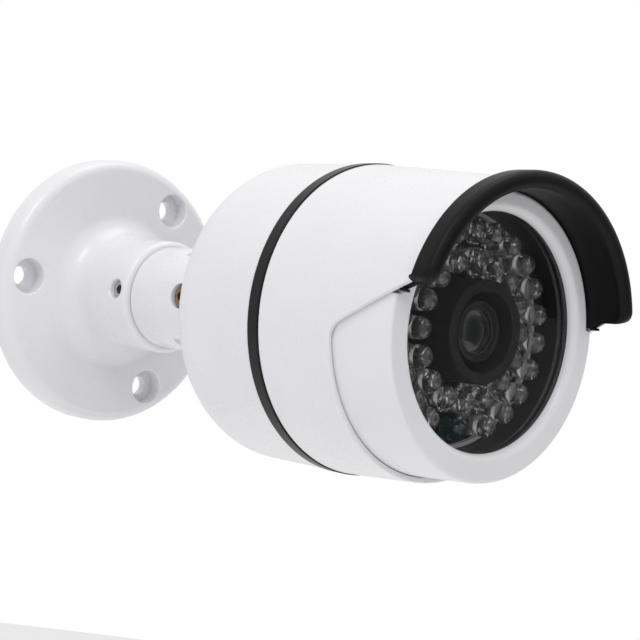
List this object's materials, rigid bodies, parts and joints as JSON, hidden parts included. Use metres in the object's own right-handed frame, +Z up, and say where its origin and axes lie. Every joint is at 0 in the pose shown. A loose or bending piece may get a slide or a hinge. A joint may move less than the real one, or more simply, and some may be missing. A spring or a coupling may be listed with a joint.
{
  "type": "security camera",
  "caption": "Bullet security camera with LED ring, hooded front and a round wall bracket that pans, tilts and rolls.",
  "frame": {"origin": "centre of the bracket's back face, which lies on the wall", "axes": "+Y out of the back face into the wall, lens looks along -Y, +Z up"},
  "size_m": [0.073, 0.1577, 0.073],
  "materials": {
    "white_paint": "satin-gloss white powder coat",
    "white_plastic": "satin white plastic",
    "black_plastic": "satin black plastic",
    "black_rubber": "matt",
    "clear_glass": "polished",
    "lens_glass": "coated",
    "led_resin": "clear resin",
    "sensor_resin": "clear tinted resin",
    "black_metal": "black anodised",
    "bronze_steel": "dark bronze plated",
    "steel": "zinc plated",
    "raw_aluminium": "machined",
    "brass": "bright",
    "circuit_board": "solder mask",
    "black_board": "black solder mask",
    "chip": "moulded",
    "connector": "moulded",
    "filter_glass": "coated",
    "coil_red": "moulded"
  },
  "bodies": {
    "bracket_base": {"base_flange": "white_paint"},
    "pan_lock": {"pan_lock_screw": "steel"},
    "arm": {"swivel_arm": "white_paint", "pan_washer": "steel", "pan_nut": "steel", "tilt_washers": "steel"},
    "knuckle": {"tail_knuckle": "white_paint", "tail_seal": "black_rubber", "roll_washer": "steel", "roll_nut": "steel", "cable_grommet": "black_rubber"},
    "left_screw": {"tilt_screw_left": "bronze_steel"},
    "right_screw": {"tilt_screw_right": "bronze_steel"},
    "lens": {"lens_barrel": "black_metal", "lens_front_glass": "lens_glass", "lens_rear_glass": "lens_glass", "lens_lock_nut": "black_metal"},
    "filter": {"filter_slider": "coil_red", "filter_glasses": "filter_glass"},
    "camera": {"rear_shell": "white_paint", "seam_ring": "black_plastic", "shell_o_ring": "black_rubber", "front_shell": "white_paint", "sunshade": "black_plastic", "bezel": "white_plastic", "window_glass": "clear_glass", "window_gasket": "black_rubber", "chassis_plate": "raw_aluminium", "chassis_screws": "steel", "main_board": "circuit_board", "processor_chip": "chip", "board_connectors": "connector", "board_capacitors": "steel", "main_standoffs": "brass", "sensor_board": "circuit_board", "sensor_standoffs": "brass", "image_sensor": "chip", "led_standoffs": "brass", "led_board": "black_board", "leds_inner": "led_resin", "leds_outer": "led_resin", "light_sensor": "sensor_resin", "led_connector": "connector", "lens_baffle": "black_plastic", "lens_holder": "black_plastic", "holder_screws": "steel", "filter_coil": "coil_red"}
  },
  "joints": [
    {"name": "pan", "type": "hinge", "parent": "bracket_base", "child": "arm", "pos_m": [0, 0, 0], "axis": [0, 1, 0], "range_deg": [-180, 180]},
    {"name": "tilt", "type": "hinge", "parent": "arm", "child": "knuckle", "pos_m": [0, -0.052, 0], "axis": [1, 0, 0], "range_deg": [-90, 90]},
    {"name": "roll", "type": "hinge", "parent": "knuckle", "child": "camera", "pos_m": [0, -0.077, 0], "axis": [0, 1, 0], "range_deg": [-180, 180]},
    {"name": "pan_lock_turn", "type": "hinge", "parent": "bracket_base", "child": "pan_lock", "pos_m": [-0.0108, -0.0262, 0], "axis": [1, 0, 0], "range_deg": [-180, 180]},
    {"name": "left_screw_turn", "type": "hinge", "parent": "knuckle", "child": "left_screw", "pos_m": [-0.011, -0.052, 0], "axis": [1, 0, 0], "range_deg": [-180, 180]},
    {"name": "right_screw_turn", "type": "hinge", "parent": "knuckle", "child": "right_screw", "pos_m": [0.011, -0.052, 0], "axis": [1, 0, 0], "range_deg": [-180, 180]},
    {"name": "lens_focus", "type": "hinge", "parent": "camera", "child": "lens", "pos_m": [0, -0.13, 0], "axis": [0, 1, 0], "range_deg": [-180, 180]},
    {"name": "filter_slide", "type": "slide", "parent": "camera", "child": "filter", "axis": [1, 0, 0], "range_m": [0, 0.0075]}
  ]
}
